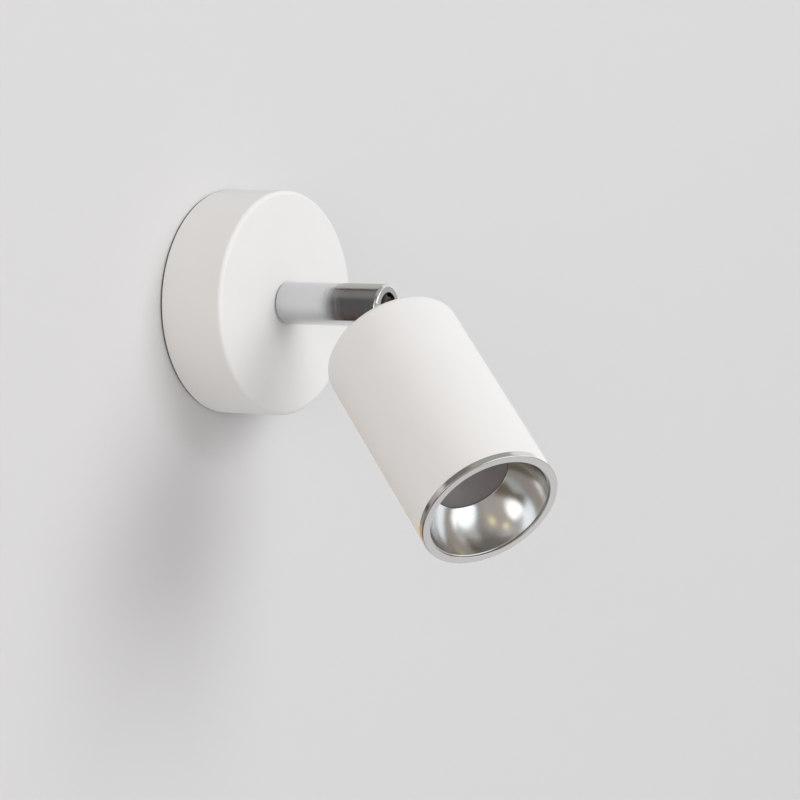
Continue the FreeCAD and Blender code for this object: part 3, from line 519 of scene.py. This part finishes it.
# ---------------------------------------------------------------------------------------------------
# Front ring: turned aluminium with a bright band and a flat lip round the mouth. Its skirt slips into
# the shell, where a rubber cord in a groove holds it.


def satin_turning(here):
    rings = lathe_lines(here, HEAD, 5200)
    haze = here.noise(50, 2.0)
    return {
        "Base Color": rings.between((0.62, 0.62, 0.62), (0.74, 0.74, 0.74)),
        "Roughness": 0.11 + 0.07 * haze + 0.04 * rings,
        "Normal": rings.relief(0.000004, 0.4),
    }


satin_chrome = finish("satin_chrome", {"Metallic": 1.0}, satin_turning)
ring_sizes = {
    "Radius": 31.07 * MM,
    "Mouth": 27.4 * MM,
    "Skirt": 29.37 * MM,
    "Skirt bore": 27.82 * MM,
    "Skirt end": 119.3 * MM,
    "Shoulder": 127.3 * MM,
    "Front": 130.13 * MM,
    "Front edge": 0.55 * MM,
    "Mouth edge": 0.3 * MM,
    "Edge": 0.15 * MM,
    "Lip": 0.9 * MM,
    "Groove": 28.27 * MM,
    "Groove place": 123.3 * MM,
    "Groove width": 1.26 * MM,
}


def ring_section(size):
    lip_back = size["Front"] - size["Lip"]
    half = size["Groove width"] * 0.5
    low = size["Groove place"] - half
    high = size["Groove place"] + half
    return [
        (size["Skirt bore"], size["Skirt end"], size["Edge"]),
        (size["Skirt bore"], lip_back, CRISP),
        (size["Mouth"], lip_back, size["Edge"]),
        (size["Mouth"], size["Front"], size["Mouth edge"]),
        (size["Radius"], size["Front"], size["Front edge"]),
        (size["Radius"], size["Shoulder"], size["Edge"]),
        (size["Skirt"], size["Shoulder"], CRISP),
        (size["Skirt"], high, SHARP),
        (size["Groove"], high, SHARP),
        (size["Groove"], low, SHARP),
        (size["Skirt"], low, SHARP),
        (size["Skirt"], size["Skirt end"], size["Edge"]),
    ]


ring = turned("ring", ring_sizes, ring_section, satin_chrome)
ring = evaluated("mouth_ring", ring, HEAD)
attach(ring, "front_ring")
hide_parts("front_ring")


# ---------------------------------------------------------------------------------------------------
# Reflector: a spun, polished aluminium cone inside the mouth, slightly bulged, with a thin flange that
# the ring's lip holds. Spinning leaves faint rings, so it mirrors softly and in broken patches.


def spun_aluminium(here):
    rings = lathe_lines(here, HEAD, 900)
    waves = here.noise(45, 2.0)
    return {
        "Base Color": waves.between((0.70, 0.69, 0.68), (0.80, 0.79, 0.78)),
        "Roughness": 0.13 + 0.10 * rings,
        "Normal": rings.relief(0.00002, 0.35),
    }


polished_aluminium = finish("polished_aluminium", {"Metallic": 1.0}, spun_aluminium)
reflector_sizes = {
    "Mouth": 27.05 * MM,
    "Throat": 16.83 * MM,
    "Flange": 27.8 * MM,
    "Front": 129.23 * MM,
    "Back": 110.89 * MM,
    "Wall": 0.7 * MM,
    "Mouth edge": 0.35 * MM,
    "Bulge": 1.8 * MM,
}
SLANT = 1.145
CURVE_STEPS = 24


def reflector_section(size):
    """A cone that bulges most at half its height. The slant widens its wall square to the axis."""
    outside = size["Wall"] * SLANT
    flange_back = size["Front"] - size["Wall"]
    curve = []
    for step in range(1, CURVE_STEPS):
        share = step / CURVE_STEPS
        cone = size["Throat"] + (size["Mouth"] - size["Throat"]) * share
        radius = cone + size["Bulge"] * (4 * share * (1 - share))
        curve.append((radius, size["Back"] + (size["Front"] - size["Back"]) * share))
    inside = [(radius, height, 0.0) for radius, height in curve]
    behind = [(radius + outside, height, 0.0) for radius, height in reversed(curve[:-1])]
    rim = [
        (size["Mouth"], size["Front"], size["Mouth edge"]),
        (size["Flange"], size["Front"], SHARP),
        (size["Flange"], flange_back, SHARP),
        (size["Mouth"] + outside * 0.5, flange_back, CRISP),
    ]
    throat = [(size["Throat"] + outside, size["Back"], CRISP), (size["Throat"], size["Back"], CRISP)]
    return inside + rim + behind + throat


reflector = turned("reflector", reflector_sizes, reflector_section, polished_aluminium)
reflector = evaluated("reflector_cone", reflector, HEAD)
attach(reflector, "front_ring")
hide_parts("reflector")


# ---------------------------------------------------------------------------------------------------
# Lampholder: fired steatite, cream and lightly glazed, with two keyhole slots for the lamp's pins. Two
# screws hold it on a bracket in the head.


def fired_steatite(here):
    speck = here.noise(900, 4.0)
    cloud = here.noise(70, 2.0)
    return {
        "Base Color": cloud.between((0.70, 0.67, 0.60), (0.80, 0.78, 0.72)),
        "Roughness": 0.34 + 0.16 * speck,
        "Normal": speck.relief(0.00002, 0.4),
    }


steatite = finish("steatite", {"Specular IOR Level": 0.5}, fired_steatite)
dress(steatite, "lamp_holder")


# ---------------------------------------------------------------------------------------------------
# Lamp: a pressed reflector body with a frosted glass front set in its rim, on a base with two pins. It
# is pushed into its holder and held by a twist. The front's dark grey is painted shade of the unlit lamp
# inside.


def lamp_shell(here):
    cloud = here.noise(80, 3.0)
    return {
        "Base Color": cloud.between((0.46, 0.46, 0.47), (0.58, 0.58, 0.58)),
        "Roughness": 0.30 + 0.12 * cloud,
        "Normal": here.noise(1800, 2.0).relief(0.00001, 0.4),
    }


lamp_case = finish("lamp_case", {"Metallic": 0.9}, lamp_shell)
dress(lamp_case, "lamp_body", "lamp_pins")


# Painted shade: the frosted front is coloured dark grey for the dark inside of the unlit lamp behind it.
def frosted_front_painted_shade(here):
    cells = here.node("ShaderNodeTexVoronoi", {}, {"Vector": here, "Scale": 900}, "Distance")
    cloud = here.noise(30, 2.0)
    return {
        "Base Color": cloud.between((0.200, 0.182, 0.182), (0.285, 0.265, 0.267)),
        "Roughness": 0.22 + 0.12 * cloud,
        "Normal": cells.relief(0.00003, 0.3),
    }


lamp_front = finish("lamp_front", {"Specular IOR Level": 0.5}, frosted_front_painted_shade)
dress(lamp_front, "lamp_lens")


# ---------------------------------------------------------------------------------------------------
# The wall behind the light and a floor far below. Both are seen from in front only, and the wall is
# open behind the canopy, where a cable would come out.


def stage_paint(name, colour, seen):
    """Matt paint of a colour, or of a paler one where the camera sees it directly."""
    made = bpy.data.materials.new(name)
    made.use_nodes = True
    tree = made.node_tree
    shader = tree.nodes["Principled BSDF"]
    shader.inputs["Roughness"].default_value = 0.9
    shader.inputs["Specular IOR Level"].default_value = 0.1
    start = Socket(tree)
    direct = start.node("ShaderNodeLightPath", {}, {}, "Is Camera Ray")
    tree.links.new(direct.between(colour, seen).output, shader.inputs["Base Color"])
    behind = start.node("ShaderNodeNewGeometry", {}, {}, "Backfacing")
    mirrored = start.node("ShaderNodeLightPath", {}, {}, "Is Glossy Ray")
    hidden = start.maths("MAXIMUM", behind, mirrored)
    clear = start.node("ShaderNodeBsdfTransparent", {}, {})
    paint = Socket(tree, shader.outputs["BSDF"])
    mixed = start.node("ShaderNodeMixShader", {}, {0: hidden, 1: paint, 2: clear})
    tree.links.new(mixed.output, tree.nodes["Material Output"].inputs["Surface"])
    return made


def panel(name, mesh, material):
    mesh.materials.append(material)
    made = bpy.data.objects.new(name, mesh)
    bpy.context.scene.collection.objects.link(made)


REACH = 2.6
SPOKES = 96
cable_opening = 49 * MM
disc = bmesh.new()
hole = bmesh.ops.create_circle(disc, segments=SPOKES, radius=cable_opening)["verts"]
rim = [disc.verts.new(vert.co.normalized() * REACH) for vert in hole]
for first in range(SPOKES):
    second = (first + 1) % SPOKES
    disc.faces.new((hole[first], rim[first], rim[second], hole[second]))
wall_mesh = bpy.data.meshes.new("wall")
disc.to_mesh(wall_mesh)
disc.free()
wall_mesh.transform(WALL)
panel("wall", wall_mesh, stage_paint("wall_paint", (0.72, 0.72, 0.725), (0.72, 0.72, 0.725)))

floor_level = -1.3
floor_front = -2.8
floor_corners = [(-REACH, floor_front), (REACH, floor_front), (REACH, 0), (-REACH, 0)]
floor_mesh = bpy.data.meshes.new("floor")
floor_mesh.from_pydata([(x, y, floor_level) for x, y in floor_corners], [], [(0, 1, 2, 3)])
panel("floor", floor_mesh, stage_paint("floor_paint", (0.60, 0.60, 0.60), (0.93, 0.93, 0.93)))


# ---------------------------------------------------------------------------------------------------
# Light: a large soft source high in front of the wall, a weaker warm one far to the left, and a small
# one behind the wall that shines into the canopy. The room is an even grey, and metal mirrors a studio.


def soft_light(name, power, size, place, target, colour=(1, 1, 1)):
    lamp = bpy.data.lights.new(name, "AREA")
    lamp.shape = "SQUARE"
    lamp.size = size
    lamp.energy = power
    lamp.color = colour
    made = bpy.data.objects.new(name, lamp)
    made.location = place
    made.rotation_euler = (Vector(target) - Vector(place)).to_track_quat("-Z", "Y").to_euler()
    made.visible_glossy = False
    bpy.context.scene.collection.objects.link(made)


warm = (1.0, 0.86, 0.73)
soft_light("key", power=80.5, size=2.6, place=(0.38, -3.6, 1.6), target=(0, -0.05, 0))
soft_light("fill", power=21, size=1.6, place=(-3.2, -1.3, 0.2), target=(0, -0.08, 0), colour=warm)
soft_light("behind", power=3, size=0.5, place=(0.1, 0.8, 0.1), target=(0, 0, 0))

world = bpy.data.worlds.new("room")
bpy.context.scene.world = world
world.use_nodes = True
start = Socket(world.node_tree)
seen = start.node("ShaderNodeLightPath", {}, {}, "Is Camera Ray")
mirrored = start.node("ShaderNodeLightPath", {}, {}, "Is Glossy Ray")
heading = start.node("ShaderNodeTexCoord", {}, {}, "Generated")
rightwards, wallwards, upwards = (
    heading.node("ShaderNodeSeparateXYZ", {}, {"Vector": heading}, axis) for axis in ("X", "Y", "Z")
)


def rising(value, low, high):
    """From 0 where a value is below low to 1 where it is above high."""
    limits = {"Value": value, "From Min": low, "From Max": high}
    return value.node("ShaderNodeMapRange", {"interpolation_type": "SMOOTHSTEP"}, limits)


# The studio's side towards the wall, which the stem mirrors: dark, with a black line at the middle and
# pale on the right. The strips of card straight ahead show in the ring's thin band.

wall_side = rising(upwards, -0.62, -0.42).between((0.095, 0.068, 0.060), (0.108, 0.104, 0.100))
wall_side = rising(upwards, 0.36, 0.60).between(wall_side, (0.235, 0.220, 0.205))
wall_side = rising(rightwards, -0.12, -0.02).between(wall_side, (0.035, 0.033, 0.031))
strips = (0.95, 0.93, 0.90)
soft_edge = 0.04
for edge, shade in (
    (-0.52, (0.50, 0.44, 0.42)),
    (-0.30, (0.06, 0.05, 0.045)),
    (-0.14, (0.36, 0.34, 0.32)),
    (0.26, (0.80, 0.46, 0.18)),
    (0.62, (0.62, 0.56, 0.50)),
):
    strips = rising(rightwards, edge - soft_edge, edge + soft_edge).between(strips, shade)
ahead = rising(wallwards, 0.66, 0.74)
wall_side = ahead.between(wall_side, strips)
pale = rising(upwards, -0.05, 0.05).between((0.80, 0.775, 0.765), (0.57, 0.55, 0.50))
wall_side = (rising(rightwards, 0.05, 0.16) * (1 - ahead)).between(wall_side, pale)

# The side away from the wall, which the reflector and the ring mirror: grey on the left, darker high up
# and low down, and bright on the right, with a faint gleam between the two sides.

open_side = rising(rightwards, -0.75, -0.55).between((0.44, 0.40, 0.375), (0.30, 0.295, 0.285))
open_side = rising(upwards, 0.40, 0.60).between(open_side, (0.22, 0.205, 0.19))
open_side = rising(upwards, -0.45, -0.33).between((0.15, 0.12, 0.085), open_side)
open_side = rising(rightwards, -0.48, -0.30).between(open_side, (0.54, 0.535, 0.52))
open_side = rising(upwards, 0.66, 0.80).between(open_side, (0.46, 0.455, 0.42))
open_side = rising(upwards, -0.80, -0.62).between((0.23, 0.215, 0.20), open_side)
bright = rising(upwards, -0.60, -0.35).between((0.82, 0.795, 0.785), (0.55, 0.54, 0.52))
bright = rising(upwards, 0.15, 0.50).between(bright, (0.98, 0.97, 0.95))
open_side = rising(rightwards, 0.36, 0.47).between(open_side, bright)
studio = rising(wallwards, 0.15, 0.30).between(open_side, wall_side)
gleam = rising(wallwards, 0.15, 0.20) * (1 - rising(wallwards, 0.46, 0.51))
gleam = gleam * (1 - rising(rightwards, -0.45, -0.35)) * (1 - rising(upwards, -0.60, -0.50))
studio = gleam.between(studio, (0.42, 0.44, 0.42))

# Its soft round lamps. A lamp's width is the sine of its half angle.

for direction, width, softness, colour in (
    ((-0.10, -0.99, 0.0), 0.45, 0.07, (1.45, 1.58, 1.66)),
    ((-0.98, 0.11, -0.14), 0.26, 0.06, (1.6, 1.6, 1.58)),
    ((-0.81, -0.53, 0.24), 0.09, 0.07, (1.1, 0.98, 0.55)),
    ((-0.93, -0.15, 0.32), 0.09, 0.07, (1.2, 1.08, 0.68)),
    ((0.40, -0.87, 0.29), 0.16, 0.05, (2.1, 2.1, 2.05)),
    ((0.95, 0.08, 0.26), 0.26, 0.08, (1.30, 1.28, 1.22)),
):
    ends = {0: heading, 1: Vector(direction).normalized()}
    distance = heading.node("ShaderNodeVectorMath", {"operation": "DISTANCE"}, ends, "Value")
    lit = 1 - rising(distance, width - softness, width + softness)
    studio = lit.between(studio, colour)

room = mirrored.between((0.50, 0.50, 0.505), studio)
room = seen.between(room, (0.80, 0.80, 0.80))
world.node_tree.links.new(room.output, world.node_tree.nodes["Background"].inputs["Color"])


# ---------------------------------------------------------------------------------------------------
# Camera: a long lens to the left of the light, level with it, looking partly along the wall. It is
# rolled a little to the side.

camera_data = bpy.data.cameras.new("camera")
camera_data.lens = 160.887
camera_data.sensor_width = 36
camera_data.clip_start = 0.05
camera = bpy.data.objects.new("camera", camera_data)
bpy.context.scene.collection.objects.link(camera)
backwards = Vector((-0.832017, -0.554279, 0.022827)).normalized()
right = Vector((0, 0, 1)).cross(backwards).normalized()
up = backwards.cross(right)
place = Matrix.Translation((-1.295210, -0.957290, -0.005372))
level = Matrix((right, up, backwards)).transposed().to_4x4()
roll = Matrix.Rotation(radians(1.692), 4, "Z")
camera.matrix_world = place @ level @ roll
bpy.context.scene.camera = camera
bpy.context.scene.view_settings.view_transform = "Standard"
